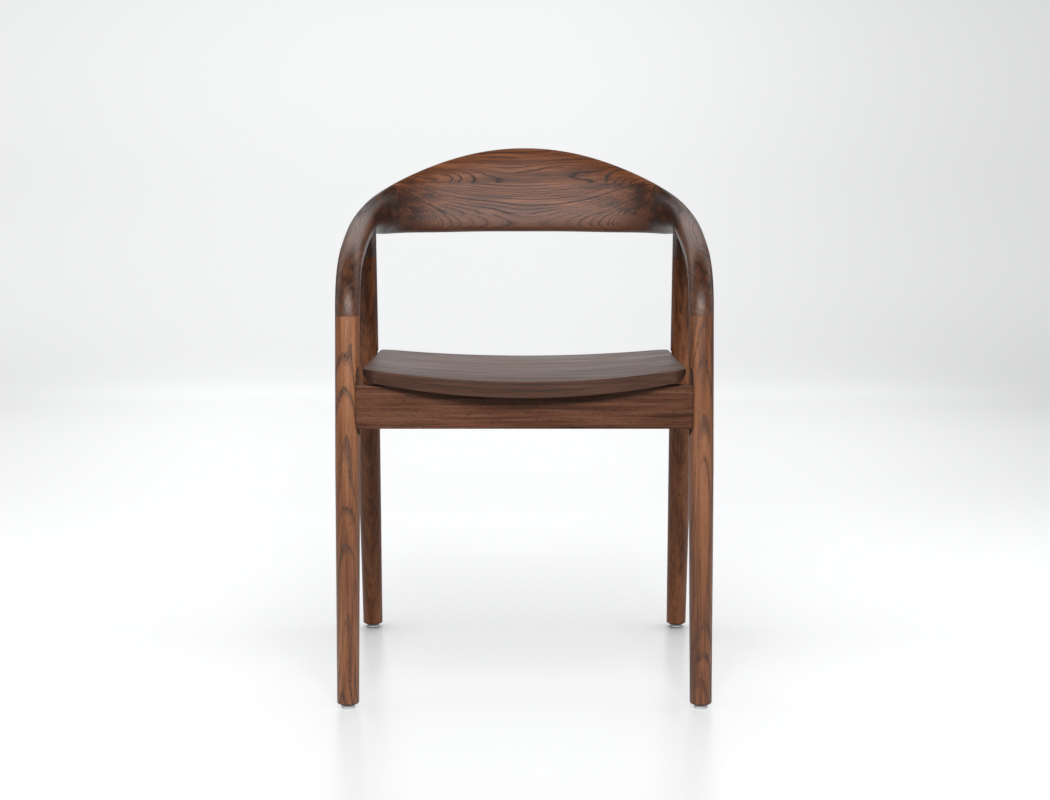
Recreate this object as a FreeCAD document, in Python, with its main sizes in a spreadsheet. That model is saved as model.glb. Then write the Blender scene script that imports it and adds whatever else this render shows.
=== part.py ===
import FreeCAD, Part
import Sketcher
import math
import os
import re

# Horseshoe back armchair in millimetres, as its maker would take it apart.
# The floor is Z = 0, the chair faces -Y, and X runs from left to right as seen from the front.
# The origin lies on the floor under the middle of the chair.

Vector = FreeCAD.Vector
Rotation = FreeCAD.Rotation
Placement = FreeCAD.Placement

X_AXIS = Vector(1, 0, 0)
Y_AXIS = Vector(0, 1, 0)
Z_AXIS = Vector(0, 0, 1)

doc = FreeCAD.newDocument("horseshoe_back_armchair")
sheet = doc.addObject("Spreadsheet::Sheet", "sizes")

# Driving dimensions: alias, value, what it is
SIZES = [
    ("front_leg_y", -242.9, "front leg axis, from the middle of the chair"),
    ("leg_base_depth", 514, "front leg axis to rear leg axis on the floor"),
    ("leg_spread", 498.2, "left to right leg axis at the knee seam"),
    ("leg_splay", 4.6, "each foot outside the leg's axis at the knee seam"),
    ("rear_rake", 185, "rear leg axis on the floor behind its upper end"),
    ("rear_leg_inset", 0.9, "rear leg axes inside the front ones"),
    ("knee_rise", 89, "seam between front leg and arm above the seat's front"),
    ("rear_seam_rise", 62, "seam between rear leg and arm above the knee seam"),
    ("foot_diameter", 31.5, "leg at the floor"),
    ("leg_diameter", 35.5, "front leg at its thickest"),
    ("leg_top_diameter", 35, "front leg at the seam with the arm"),
    ("rear_leg_diameter", 36.5, "rear leg at its thickest"),
    ("rear_leg_top_diameter", 36.8, "rear leg at the seam with the arm"),
    ("leg_full_height", 350, "height where a leg reaches its full thickness"),
    ("foot_rounding", 2.5, "rounded edge of a leg's foot"),
    ("glide_height", 6.5, "foot end above the floor"),
    ("glide_diameter", 20, "glide foot"),
    ("glide_collar_diameter", 16, "glide collar under the wood"),
    ("glide_collar_height", 2.2, "height of the glide collar"),
    ("glide_rounding", 1.5, "rounded lower edge of a glide"),
    ("nail_diameter", 2.4, "glide nail"),
    ("nail_head_diameter", 7, "glide nail head"),
    ("nail_head_height", 1.6, "glide nail head"),
    ("nail_length", 20, "glide nail under its head"),
    ("nail_recess", 1.2, "hollow in the glide under the nail head"),
    ("back_setback", 46, "middle of the back ahead of the rear feet"),
    ("band_rise", 161, "knee seam to the middle height of the back"),
    ("arm_width", 36.8, "arm, across"),
    ("arm_height", 34.6, "arm, upright"),
    ("back_thickness", 26, "back at its middle"),
    ("back_height", 134.5, "back at its middle, along its face"),
    ("back_lean_angle", 10, "degrees that the back leans from upright"),
    ("upper_glue_rise", 172.3, "glue line between upper and middle back board above the knee seam"),
    ("lower_glue_rise", 122.8, "glue line between middle and lower back board above the knee seam"),
    ("seat_gap", 3.9, "seat's side from the inner side of the legs' tops"),
    ("seat_front_reach", 42, "seat front ahead of the front leg axis"),
    ("seat_rear_reach", 76, "seat rear behind the rear leg axis at the rear seam"),
    ("seat_thickness", 23.2, "seat panel at its middle"),
    ("seat_thinning", 5.5, "seat thinner at its sides than at its middle"),
    ("seat_front_height", 477, "top of the seat at the middle of its front"),
    ("seat_fall", 11, "rear of the seat lower than its front"),
    ("seat_front_sag", 16.3, "hollow of the seat across its front"),
    ("seat_rear_sag", 11.5, "hollow of the seat across its rear"),
    ("seat_bow", 21, "bow of the seat's front edge in plan"),
    ("seat_rear_bow", 10, "bow of the seat's rear edge in plan"),
    ("seat_front_corner", 20, "rounded front corner of the seat in plan"),
    ("seat_rear_corner", 26, "rounded rear corner of the seat in plan"),
    ("seat_lip", 7, "upright part of the seat's side edge"),
    ("seat_bevel", 9, "bevel under the seat's side edge, inward"),
    ("seat_edge", 1.6, "eased top edge of the seat"),
    ("seat_boards", 6, "boards glued up into the seat"),
    ("rail_inset", 11.4, "end of a rail inside the leg axis at the knee seam"),
    ("rail_height", 61, "front rail"),
    ("rail_thickness", 22, "front and rear rail"),
    ("rail_drop", 9, "ends of the front rail's top under the seat's front height"),
    ("rail_setback", 16, "front rail's face ahead of the front leg axis"),
    ("rail_edge", 1.2, "eased edges of the rails"),
    ("rear_rail_drop", 14, "ends of the rear rail's top under the seat's rear height"),
    ("rear_rail_height", 58, "rear rail"),
    ("side_rail_height", 36, "side rail"),
    ("side_rail_thickness", 18, "side rail"),
    ("side_rail_drop", 32, "top of the side rail's front end under the front rail's top"),
    ("side_rail_rear_drop", 32, "top of the side rail's rear end under the rear rail's top"),
    ("notch_above", 15, "flat of the leg's notch above the rail"),
    ("notch_radius", 15, "rounded run-outs of a leg's notch"),
    ("tenon_thickness", 9, "loose tenons of the rails"),
    ("tenon_rounding", 4, "rounded long edges of the loose tenons"),
    ("rail_tenon_width", 34, "loose tenons of the front and rear rail"),
    ("rail_tenon_length", 40, "loose tenons of the front and rear rail"),
    ("rail_tenon_rise", 6, "loose tenons above the middle of the front and rear rail"),
    ("side_tenon_width", 18, "loose tenons of the side rails"),
    ("side_tenon_length", 36, "loose tenons of the side rails"),
    ("leg_dowel_diameter", 14, "dowels between legs and arms"),
    ("leg_dowel_length", 54, "dowels between legs and arms"),
    ("back_dowel_diameter", 9, "dowels between arms and back"),
    ("back_dowel_length", 44, "dowels between arms and back"),
    ("back_dowel_drop", 25, "lower dowel under the middle of the arm's rear end"),
    ("back_dowel_rise", 13, "upper dowel above the middle of the arm's rear end"),
    ("dowel_chamfer", 1, "chamfered ends of the dowels"),
    ("block_reach", 62, "corner block along each rail"),
    ("block_end", 12, "square ends of a corner block"),
    ("block_clearance", 20, "corner block's cut corner around the leg"),
    ("block_height", 22, "corner block"),
    ("front_block_drop", 38, "front block's top under the top of the front rail"),
    ("rear_block_drop", 34, "rear block's top under the top of the rear rail"),
    ("screw_diameter", 4, "corner block and seat screws"),
    ("screw_head_diameter", 8, "corner block and seat screws"),
    ("screw_head_height", 2.6, "corner block and seat screws"),
    ("block_screw_length", 26, "corner block screws under the head"),
    ("block_screw_offset", 42, "corner block screws from the corner of the rails"),
    ("block_screw_seat", 12, "wood of a corner block under a screw head"),
    ("seat_screw_length", 30, "seat screws under the head"),
    ("seat_screw_grip", 13, "seat screws inside the seat"),
    ("seat_screw_spacing", 140, "seat screws along a rail"),
    ("screw_play", 0.3, "clearance around a screw head"),
    ("overrun", 10, "how far cutters reach past what they cut"),
]

# Measures that follow from the sizes: each the sum of the sizes and measures that it names
SUMS = {
    "foot_spread": ["leg_spread", "leg_splay", "leg_splay"],
    "rear_top_depth": ["leg_base_depth", "-rear_rake"],
    "knee_seam_height": ["seat_front_height", "knee_rise"],
    "rear_seam_height": ["knee_seam_height", "rear_seam_rise"],
    "band_reach": ["leg_base_depth", "-back_setback"],
    "upper_glue_height": ["knee_seam_height", "upper_glue_rise"],
    "lower_glue_height": ["knee_seam_height", "lower_glue_rise"],
    "seat_width": ["leg_spread", "-leg_top_diameter", "-seat_gap", "-seat_gap"],
    "seat_depth": ["seat_front_reach", "rear_top_depth", "seat_rear_reach"],
    "seat_rear_height": ["seat_front_height", "-seat_fall"],
    "rail_length": ["leg_spread", "-rail_inset", "-rail_inset"],
    "rail_top": ["seat_front_height", "-rail_drop"],
    "rear_rail_top": ["seat_rear_height", "-rear_rail_drop"],
    "side_rail_front": ["rail_top", "-side_rail_drop"],
    "side_rail_rear": ["rear_rail_top", "-side_rail_rear_drop"],
}

# The horseshoe band from the knee of an arm to the middle of the back.
# Along it: reach, spread and rise are shares of band_reach, leg_spread / 2 and band_rise. Arm goes from
# the round leg top (0) to the full arm (1), thin and tall from the arm (0) to the back (1).
# Yaw and pitch are the band's heading in degrees, lean is a share of the back's lean, and the last
# number is the section's fullness.
BAND_SHARES = [
    (0.000, 1.000, 0.000, 0.00, 0.00, 0.00, 0, 90, 0.0, 2.0),
    (0.015, 1.000, 0.186, 0.03, 0.00, 0.00, 0, 68, 0.0, 2.0),
    (0.058, 1.000, 0.335, 0.10, 0.00, 0.00, 0, 40, 0.0, 2.0),
    (0.124, 1.000, 0.435, 0.22, 0.00, 0.00, 0, 21, 0.0, 2.1),
    (0.261, 1.001, 0.528, 0.55, 0.00, 0.00, 0, 9, 0.0, 2.2),
    (0.491, 1.002, 0.627, 1.00, 0.00, 0.00, 0, 7, 0.0, 2.2),
    (0.641, 0.998, 0.683, 1.00, 0.01, 0.01, 3, 8, 0.0, 2.2),
    (0.748, 0.978, 0.733, 1.00, 0.15, 0.08, 16, 9, 0.2, 2.2),
    (0.842, 0.923, 0.768, 1.00, 0.37, 0.26, 34, 8, 0.5, 2.3),
    (0.907, 0.829, 0.815, 1.00, 0.63, 0.415, 56, 7, 0.8, 2.4),
    (0.964, 0.602, 0.898, 1.00, 0.85, 0.69, 74, 6, 1.0, 2.6),
    (0.991, 0.301, 0.975, 1.00, 0.96, 0.92, 83, 3, 1.0, 2.8),
    (1.000, 0.000, 1.000, 1.00, 1.00, 1.00, 90, 0, 1.0, 2.8),
]
SEAM_REACH_SHARE = 0.907
RING_POINTS = 20

# The stub of the arm over the rear leg, from its seam up into the arm: height as a share of the way to
# the arm's middle, and the shares by which the leg's round section widens across and along the arm.
STUB_SHARES = [
    (0.000, 1.000, 1.00),
    (0.262, 1.000, 1.03),
    (0.556, 1.000, 1.22),
    (0.785, 0.995, 1.55),
    (0.949, 0.980, 1.95),
]

# Edges count as running along an axis when the cosine between them is above this share.
PARALLEL_SHARE = 0.999

for row, (alias, value, note) in enumerate(SIZES, start=1):
    sheet.set(f"A{row}", note)
    sheet.set(f"B{row}", str(value))
    sheet.setAlias(f"B{row}", alias)
doc.recompute()


def size(name):
    """Value of a driving dimension, read from the spreadsheet, or of a sum of them."""
    if name in SUMS:
        return sum(-size(term[1:]) if term[0] == "-" else size(term) for term in SUMS[name])
    return float(sheet.get(name))


def spelled(formula):
    """Formula with every sum written out in driving dimensions, ready to bind."""
    def replace(found):
        terms = SUMS.get(found.group(1))
        if terms is None:
            return found.group(0)
        signed = "".join(f" - sizes.{term[1:]}" if term[0] == "-" else f" + sizes.{term}" for term in terms)
        return f"({spelled(signed[len(' + '):])})"
    return re.sub(r"sizes\.(\w+)", replace, formula)


# Helpers for bound sketches and bodies

def origin_plane(body, role):
    return [plane for plane in body.Origin.OriginFeatures if plane.Role == role][0]


def new_body(name):
    return doc.addObject("PartDesign::Body", name)


def new_sketch(body, role, offset=None):
    """Sketch on an origin plane of its own body, moved along the plane's normal by a formula."""
    sketch = body.newObject("Sketcher::SketchObject", body.Name + "_sketch")
    sketch.AttachmentSupport = [(origin_plane(body, role), "")]
    sketch.MapMode = "FlatFace"
    if offset:
        sketch.setExpression("AttachmentOffset.Base.z", spelled(offset))
    return sketch


def bind(sketch, constraint, formula):
    """Add a dimension to a sketch and tie its value to a formula in the sizes."""
    index = sketch.addConstraint(constraint)
    sketch.setExpression(f"Constraints[{index}]", spelled(formula))


def bound_outline(sketch, corners):
    """Closed outline of straight lines through corners, each a pair of formulas."""
    count = len(corners)
    reach = size("overrun")
    middle = size("leg_diameter")
    turns = [2 * math.pi * i / count for i in range(count)]
    start = [Vector(middle + reach * math.cos(turn), middle + reach * math.sin(turn), 0) for turn in turns]
    for i in range(count):
        sketch.addGeometry(Part.LineSegment(start[i], start[(i + 1) % count]), False)
    for i in range(count):
        sketch.addConstraint(Sketcher.Constraint("Coincident", i, 2, (i + 1) % count, 1))
    for i, (across, upward) in enumerate(corners):
        for kind, formula, axis, place in (("DistanceX", across, -2, start[i].x),
                                           ("DistanceY", upward, -1, start[i].y)):
            if formula == "0":
                sketch.addConstraint(Sketcher.Constraint("PointOnObject", i, 1, axis))
            elif formula.startswith("-"):
                bind(sketch, Sketcher.Constraint(kind, i, 1, -1, 1, place), formula[1:])
            else:
                bind(sketch, Sketcher.Constraint(kind, -1, 1, i, 1, place), formula)


def turned(name, corners):
    """Body turned on its own Z axis from an outline of radius and height formulas."""
    body = new_body(name)
    sketch = new_sketch(body, "XZ_Plane")
    bound_outline(sketch, corners)
    turn = body.newObject("PartDesign::Revolution", name + "_turn")
    turn.Profile = sketch
    turn.ReferenceAxis = (sketch, ["V_Axis"])
    turn.Angle = 360
    doc.recompute()
    return body


def padded(name, corners, length, role="XY_Plane", offset=None):
    """Body padded from a straight outline on an origin plane."""
    body = new_body(name)
    sketch = new_sketch(body, role, offset)
    bound_outline(sketch, corners)
    pad = body.newObject("PartDesign::Pad", name + "_pad")
    pad.Profile = sketch
    pad.setExpression("Length", spelled(length))
    doc.recompute()
    return body


def ease(body, radius, chosen):
    """Round the edges of a body's tip that a test picks."""
    tip = body.Tip
    names = [f"Edge{i}" for i, edge in enumerate(tip.Shape.Edges, start=1) if chosen(edge)]
    fillet = body.newObject("PartDesign::Fillet", body.Name + "_ease")
    fillet.Base = (tip, names)
    fillet.setExpression("Radius", spelled(radius))
    doc.recompute()


def along(edge, axis):
    """True for a straight edge that runs along an axis."""
    if edge.Curve.TypeId != "Part::GeomLine":
        return False
    return abs(edge.Curve.Direction.dot(axis)) > PARALLEL_SHARE


def box(name, length, width, height, corner):
    """Box with bound sides and a bound lowest corner."""
    block = doc.addObject("Part::Box", name)
    for prop, formula in zip(("Length", "Width", "Height"), (length, width, height)):
        block.setExpression(prop, spelled(formula))
    for axis, formula in zip("xyz", corner):
        block.setExpression(f"Placement.Base.{axis}", spelled(formula))
    return block


# Helpers for joining and cutting

def common(name, base, tool):
    result = doc.addObject("Part::Common", name)
    result.Base = base
    result.Tool = tool
    result.Refine = False
    doc.recompute()
    return result


def cut(name, base, tools):
    """Cut tools from a base one after the other, and keep the last result under the name."""
    for i, tool in enumerate(tools):
        last = i == len(tools) - 1
        result = doc.addObject("Part::Cut", name if last else f"{name}_cut_{i + 1}")
        result.Base = base
        result.Tool = tool
        result.Refine = False
        base = result
    doc.recompute()
    return base


def mirrored(name, source):
    """The same piece on the other side of the chair."""
    result = doc.addObject("Part::Mirroring", name)
    result.Source = source
    result.Normal = X_AXIS
    doc.recompute()
    return result


def grouped(name, members):
    """Like pieces that share one node as separate solids."""
    result = doc.addObject("Part::Compound", name)
    result.Links = members
    doc.recompute()
    return result


def placed_copy(name, source, place):
    """Copy of a hidden fitting at another place."""
    result = doc.addObject("Part::Feature", name)
    result.Shape = source.Shape
    result.Placement = place.multiply(source.Placement)
    return result


def pointing(base, direction):
    """Placement that stands a turned piece at a point with its axis along a direction."""
    return Placement(base, Rotation(Z_AXIS, direction))


# Where the legs run

def leg_x(height):
    """Distance of the front leg axes from the middle of the chair at a height."""
    return size("leg_spread") / 2 + size("leg_splay") * (1 - height / size("knee_seam_height"))


def front_axis(height):
    return Vector(leg_x(height), size("front_leg_y"), height)


def rear_axis(height):
    forward = size("rear_rake") * height / size("rear_seam_height")
    return Vector(leg_x(height) - size("rear_leg_inset"),
                  size("front_leg_y") + size("leg_base_depth") - forward, height)


front_direction = front_axis(size("knee_seam_height")) - front_axis(0)
rear_direction = rear_axis(size("rear_seam_height")) - rear_axis(0)
front_place = pointing(front_axis(0), front_direction)
rear_place = pointing(rear_axis(0), rear_direction)
rear_rake = Rotation(Z_AXIS, Vector(0, rear_direction.y, rear_direction.z))

SEAT_REAR_Y = "(sizes.front_leg_y - sizes.seat_front_reach + sizes.seat_depth)"
SEAT_FRONT_Y = "(sizes.front_leg_y - sizes.seat_front_reach)"
REAR_AXIS_LENGTH = "sqrt(sizes.rear_seam_height^2 + sizes.rear_rake^2)"


# Seat

def arc_radius(width, sag):
    """Formula for the radius of an arc of a width and a sag."""
    return f"(({width})^2 / (8 * {sag}) + {sag} / 2)"


def lower_arc(centre_height, radius, half_width):
    """Arc that sags between two ends left and right of the sketch's upright axis."""
    swing = math.asin(half_width / radius)
    circle = Part.Circle(Vector(0, centre_height, 0), Z_AXIS, radius)
    return Part.ArcOfCircle(circle, 1.5 * math.pi - swing, 1.5 * math.pi + swing)


def upper_arc(centre_height, radius, half_width):
    """Arc that crowns between two ends left and right of the sketch's upright axis."""
    swing = math.asin(half_width / radius)
    circle = Part.Circle(Vector(0, centre_height, 0), Z_AXIS, radius)
    return Part.ArcOfCircle(circle, 0.5 * math.pi - swing, 0.5 * math.pi + swing)


def seat_section(body, offset, height_name, sag_name):
    """Cross section of the seat panel: hollow top, rounder underside and bevelled ends."""
    sketch = new_sketch(body, "XZ_Plane", offset)
    half = size("seat_width") / 2
    sag = size(sag_name)
    thickness = size("seat_thickness")
    radius = half ** 2 / (2 * sag) + sag / 2
    centre = size(height_name) + radius
    top = centre - math.sqrt(radius ** 2 - half ** 2)
    inner = half - size("seat_bevel")
    low_sag = sag + size("seat_thinning")
    low_radius = half ** 2 / (2 * low_sag) + low_sag / 2
    low_centre = size(height_name) - thickness + low_radius
    low = low_centre - math.sqrt(low_radius ** 2 - inner ** 2)
    lip = top - size("seat_lip")
    right_top = Vector(half, top, 0)
    right_lip = Vector(half, lip, 0)
    right_low = Vector(inner, low, 0)
    left_top = Vector(-half, top, 0)
    left_lip = Vector(-half, lip, 0)
    left_low = Vector(-inner, low, 0)
    sketch.addGeometry(lower_arc(centre, radius, half), False)
    sketch.addGeometry(Part.LineSegment(right_top, right_lip), False)
    sketch.addGeometry(Part.LineSegment(right_lip, right_low), False)
    sketch.addGeometry(lower_arc(low_centre, low_radius, inner), False)
    sketch.addGeometry(Part.LineSegment(left_low, left_lip), False)
    sketch.addGeometry(Part.LineSegment(left_lip, left_top), False)
    for first, second in (((0, 2), (1, 1)), ((1, 2), (2, 1)), ((2, 2), (3, 2)),
                          ((3, 1), (4, 1)), ((4, 2), (5, 1)), ((5, 2), (0, 1))):
        sketch.addConstraint(Sketcher.Constraint("Coincident", *first, *second))
    sketch.addConstraint(Sketcher.Constraint("PointOnObject", 0, 3, -2))
    sketch.addConstraint(Sketcher.Constraint("PointOnObject", 3, 3, -2))
    sketch.addConstraint(Sketcher.Constraint("Vertical", 1))
    sketch.addConstraint(Sketcher.Constraint("Vertical", 5))
    sketch.addConstraint(Sketcher.Constraint("Equal", 1, 5))
    formula = arc_radius("sizes.seat_width", f"sizes.{sag_name}")
    bind(sketch, Sketcher.Constraint("Radius", 0, radius), formula)
    low_formula = arc_radius("sizes.seat_width", f"(sizes.{sag_name} + sizes.seat_thinning)")
    bind(sketch, Sketcher.Constraint("Radius", 3, low_radius), low_formula)
    bind(sketch, Sketcher.Constraint("DistanceY", -1, 1, 0, 3, centre), f"sizes.{height_name} + {formula}")
    bind(sketch, Sketcher.Constraint("DistanceY", -1, 1, 3, 3, low_centre),
         f"sizes.{height_name} - sizes.seat_thickness + {low_formula}")
    bind(sketch, Sketcher.Constraint("DistanceX", -1, 1, 0, 2, half), "sizes.seat_width / 2")
    bind(sketch, Sketcher.Constraint("DistanceX", 0, 1, -1, 1, half), "sizes.seat_width / 2")
    reach = "sizes.seat_width / 2 - sizes.seat_bevel"
    bind(sketch, Sketcher.Constraint("DistanceX", -1, 1, 3, 2, inner), reach)
    bind(sketch, Sketcher.Constraint("DistanceX", 3, 1, -1, 1, inner), reach)
    bind(sketch, Sketcher.Constraint("DistanceY", 1, 2, 1, 1, size("seat_lip")), "sizes.seat_lip")
    return sketch


def seat_hollow():
    """The seat's cross sections joined from front to rear."""
    body = new_body("seat_hollow")
    front = seat_section(body, f"-{SEAT_FRONT_Y}", "seat_front_height", "seat_front_sag")
    rear = seat_section(body, f"-{SEAT_REAR_Y}", "seat_rear_height", "seat_rear_sag")
    loft = body.newObject("PartDesign::AdditiveLoft", "seat_hollow_loft")
    loft.Profile = front
    loft.Sections = [rear]
    loft.Ruled = True
    doc.recompute()
    return body


def seat_plan():
    """The seat's outline from above: bowed front and rear edges, straight sides, rounded corners."""
    body = new_body("seat_plan")
    sketch = new_sketch(body, "XY_Plane")
    half = size("seat_width") / 2
    front = size("front_leg_y") - size("seat_front_reach")
    rear = front + size("seat_depth")
    front_radius = half ** 2 / (2 * size("seat_bow")) + size("seat_bow") / 2
    rear_radius = half ** 2 / (2 * size("seat_rear_bow")) + size("seat_rear_bow") / 2
    front_end = front + size("seat_bow")
    rear_end = rear - size("seat_rear_bow")
    sketch.addGeometry(lower_arc(front + front_radius, front_radius, half), False)
    sketch.addGeometry(Part.LineSegment(Vector(half, front_end, 0), Vector(half, rear_end, 0)), False)
    sketch.addGeometry(upper_arc(rear - rear_radius, rear_radius, half), False)
    sketch.addGeometry(Part.LineSegment(Vector(-half, rear_end, 0), Vector(-half, front_end, 0)), False)
    for first, second in (((0, 2), (1, 1)), ((1, 2), (2, 1)), ((2, 2), (3, 1)), ((3, 2), (0, 1))):
        sketch.addConstraint(Sketcher.Constraint("Coincident", *first, *second))
    sketch.addConstraint(Sketcher.Constraint("PointOnObject", 0, 3, -2))
    sketch.addConstraint(Sketcher.Constraint("PointOnObject", 2, 3, -2))
    sketch.addConstraint(Sketcher.Constraint("Vertical", 1))
    sketch.addConstraint(Sketcher.Constraint("Vertical", 3))
    front_formula = arc_radius("sizes.seat_width", "sizes.seat_bow")
    rear_formula = arc_radius("sizes.seat_width", "sizes.seat_rear_bow")
    bind(sketch, Sketcher.Constraint("Radius", 0, front_radius), front_formula)
    bind(sketch, Sketcher.Constraint("Radius", 2, rear_radius), rear_formula)
    bind(sketch, Sketcher.Constraint("DistanceX", -1, 1, 0, 2, half), "sizes.seat_width / 2")
    bind(sketch, Sketcher.Constraint("DistanceX", 0, 1, -1, 1, half), "sizes.seat_width / 2")
    bind(sketch, Sketcher.Constraint("DistanceY", -1, 1, 0, 3, front + front_radius),
         f"{SEAT_FRONT_Y} + {front_formula}")
    bind(sketch, Sketcher.Constraint("DistanceY", -1, 1, 2, 3, rear - rear_radius),
         f"{SEAT_REAR_Y} - {rear_formula}")
    pad = body.newObject("PartDesign::Pad", "seat_plan_pad")
    pad.Profile = sketch
    pad.setExpression("Length", "sizes.seat_front_height + sizes.seat_front_sag + sizes.overrun")
    doc.recompute()
    ease(body, "sizes.seat_front_corner", lambda edge: along(edge, Z_AXIS) and edge.BoundBox.YMax < 0)
    ease(body, "sizes.seat_rear_corner", lambda edge: along(edge, Z_AXIS) and edge.BoundBox.YMin > 0
         and abs(edge.BoundBox.XMax) > half - size("seat_edge"))
    return body


def seat_low(x, y):
    """Height of the seat's underside."""
    share = (y - size("front_leg_y") + size("seat_front_reach")) / size("seat_depth")
    heights = []
    for place in ("front", "rear"):
        sag = size(f"seat_{place}_sag") + size("seat_thinning")
        radius = size("seat_width") ** 2 / (8 * sag) + sag / 2
        centre = size(f"seat_{place}_height") - size("seat_thickness") + radius
        heights.append(centre - math.sqrt(radius ** 2 - x ** 2))
    return heights[0] + (heights[1] - heights[0]) * share


seat_form = common("seat_form", seat_hollow(), seat_plan())
top_edges = max(seat_form.Shape.Faces, key=lambda face: face.CenterOfMass.z).OuterWire.Edges
seat_eased = doc.addObject("Part::Fillet", "seat_eased")
seat_eased.Base = seat_form
seat_eased.Edges = [(i, size("seat_edge"), size("seat_edge"))
                    for i, edge in enumerate(seat_form.Shape.Edges, start=1)
                    if any(edge.isSame(other) for other in top_edges)]
doc.recompute()


# Legs as they come off the lathe, and the notches that take the rails

def turned_leg(name, full_diameter, top_diameter, axis_length, place, seam_height):
    """Round tapered post, cut level at the glide and at the seam, with a rounded foot."""
    post = turned(name + "_post", [
        ("0", "-sizes.overrun"),
        ("sizes.foot_diameter / 2", "-sizes.overrun"),
        (f"{full_diameter} / 2", "sizes.leg_full_height"),
        (f"{top_diameter} / 2", axis_length),
        (f"{top_diameter} / 2", f"{axis_length} + sizes.overrun"),
        ("0", f"{axis_length} + sizes.overrun"),
    ])
    post.Placement = place
    span = "sizes.leg_base_depth + 2 * sizes.foot_spread"
    level = box(name + "_level", "sizes.foot_spread", span, f"{seam_height} - sizes.glide_height",
                ("0", "-sizes.foot_spread", "sizes.glide_height"))
    trimmed = common(name + "_trimmed", post, level)
    foot = [(i, size("foot_rounding"), size("foot_rounding"))
            for i, edge in enumerate(trimmed.Shape.Edges, start=1)
            if edge.BoundBox.ZMax < size("glide_height") + size("foot_rounding")]
    rounded = doc.addObject("Part::Fillet", name + "_rounded")
    rounded.Base = trimmed
    rounded.Edges = foot
    doc.recompute()
    return rounded


front_turned = turned_leg("front_leg", "sizes.leg_diameter", "sizes.leg_top_diameter",
                          "sizes.knee_seam_height", front_place, "sizes.knee_seam_height")
rear_turned = turned_leg("rear_leg", "sizes.rear_leg_diameter", "sizes.rear_leg_top_diameter",
                         REAR_AXIS_LENGTH, rear_place, "sizes.rear_seam_height")

# The rails are drawn level, with their top at height zero and the leg axes in the plane Y = 0.
# These two places stand them between the legs, the rear one raked like the rear legs.
front_rail_place = Placement(Vector(0, size("front_leg_y"), size("rail_top")), Rotation())
rear_rail_base = Vector(0, rear_axis(size("rear_rail_top")).y, size("rear_rail_top"))
rear_rail_place = Placement(rear_rail_base, rear_rake)


def rail_form(name, height, front_face, place):
    """Plain rail with eased edges. Its front face is a formula, ahead of the leg axes."""
    corners = [("-sizes.rail_length / 2", f"-{height}"), ("sizes.rail_length / 2", f"-{height}"),
               ("sizes.rail_length / 2", "0"), ("-sizes.rail_length / 2", "0")]
    rail = padded(name, corners, "sizes.rail_thickness", "XZ_Plane", f"{front_face} - sizes.rail_thickness")
    ease(rail, "sizes.rail_edge", lambda edge: True)
    rail.Placement = place
    return rail


def notch_form(name, height, offset, place):
    """Cutter for the leg notches of a rail, with rounded run-outs above and below the rail."""
    low = f"-({height} + sizes.notch_radius)"
    high = "sizes.notch_above + sizes.notch_radius"
    corners = [("-sizes.rail_length / 2", low), ("sizes.rail_length / 2", low),
               ("sizes.rail_length / 2", high), ("-sizes.rail_length / 2", high)]
    notch = padded(name, corners, "sizes.rail_setback + sizes.overrun", "XZ_Plane", offset)
    ease(notch, "sizes.notch_radius", lambda edge: along(edge, Y_AXIS))
    notch.Placement = place
    return notch


front_rail_form = rail_form("front_rail_form", "sizes.rail_height", "sizes.rail_setback", front_rail_place)
rear_rail_form = rail_form("rear_rail_form", "sizes.rear_rail_height",
                           "(sizes.rail_thickness - sizes.rail_setback)", rear_rail_place)
front_notch = notch_form("front_notch", "sizes.rail_height",
                         "sizes.rail_setback - sizes.rail_thickness", front_rail_place)
rear_notch = notch_form("rear_notch", "sizes.rear_rail_height",
                        "sizes.rail_thickness - 2 * sizes.rail_setback - sizes.overrun", rear_rail_place)


# The horseshoe band, one smooth form from knee to knee

def band_station(share_row, side):
    """Centre, side and upward direction, half width, half height and fullness of the band's section."""
    reach, spread, rise, arm, thin, tall, yaw, pitch, lean_share, fullness = share_row
    centre = Vector(side * spread * size("leg_spread") / 2,
                    size("front_leg_y") + reach * size("band_reach"),
                    size("knee_seam_height") + rise * size("band_rise"))
    heading = math.radians(yaw if side > 0 else 180 - yaw)
    climb = math.radians(pitch * side)
    lean = math.radians(lean_share * size("back_lean_angle"))
    ahead = Vector(-math.sin(heading), math.cos(heading), 0)
    across = Vector(math.cos(heading), math.sin(heading), 0)
    upward = Z_AXIS * math.cos(climb) - ahead * math.sin(climb)
    leaning_across = across * math.cos(lean) - upward * math.sin(lean)
    leaning_upward = upward * math.cos(lean) + across * math.sin(lean)
    round_half = size("leg_top_diameter") / 2
    half_width = round_half + (size("arm_width") / 2 - round_half) * arm
    half_width += (size("back_thickness") / 2 - half_width) * thin
    half_height = round_half + (size("arm_height") / 2 - round_half) * arm
    half_height += (size("back_height") / 2 - half_height) * tall
    return centre, leaning_across, leaning_upward, half_width, half_height, fullness


def ring(centre, across, upward, half_width, half_height, fullness):
    """Closed smooth section from its highest point round: an ellipse when fullness is 2, squarer above."""
    points = []
    for i in range(RING_POINTS):
        turn = 2 * math.pi * i / RING_POINTS + math.pi / 2
        sides = (math.cos(turn), math.sin(turn))
        reach, rise = (math.copysign(abs(part) ** (2 / fullness), part) for part in sides)
        points.append(centre + across * half_width * reach + upward * half_height * rise)
    curve = Part.BSplineCurve()
    curve.interpolate(Points=points, PeriodicFlag=True, Parameters=[float(i) for i in range(RING_POINTS + 1)])
    return Part.Wire(curve.toShape())


stations = [band_station(row, 1) for row in BAND_SHARES]
stations += [band_station(row, -1) for row in reversed(BAND_SHARES[:-1])]
band = doc.addObject("Part::Feature", "horseshoe_band")
band.Shape = Part.makeLoft([ring(*station) for station in stations], True, False)

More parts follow.
